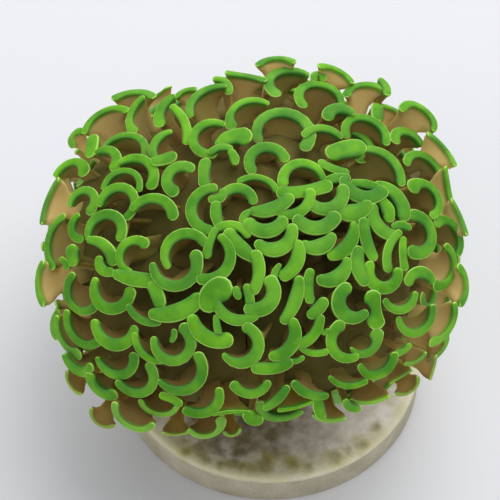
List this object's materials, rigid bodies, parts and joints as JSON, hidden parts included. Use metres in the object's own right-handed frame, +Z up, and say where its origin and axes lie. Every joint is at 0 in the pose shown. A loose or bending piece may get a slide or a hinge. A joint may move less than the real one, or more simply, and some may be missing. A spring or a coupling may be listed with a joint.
{
  "type": "hammer coral",
  "caption": "Hammer coral colony with curved green hammer-shaped tentacle ends in a round dome, on stony branches fixed to a round ceramic disc.",
  "frame": {"origin": "middle of the disc's flat underside", "axes": "+Z up, -Y towards the side that the picture shows"},
  "size_m": [0.0655, 0.0662, 0.0553],
  "materials": {
    "disc": "matt unglazed ceramic, beige grey, with thin algae stains",
    "skeleton": "rough limestone, pale brown",
    "polyp": "soft wet flesh, translucent brown stems and bright green ends"
  },
  "bodies": {
    "root": {"disc": "disc", "stalk": "skeleton", "branch_top": "skeleton", "branch_left": "skeleton", "branch_front_left": "skeleton", "branch_front_right": "skeleton", "branch_right": "skeleton", "branch_back": "skeleton", "polyp_top": "polyp", "polyp_left": "polyp", "polyp_front_left": "polyp", "polyp_front_right": "polyp", "polyp_right": "polyp", "polyp_back": "polyp"}
  },
  "joints": []
}
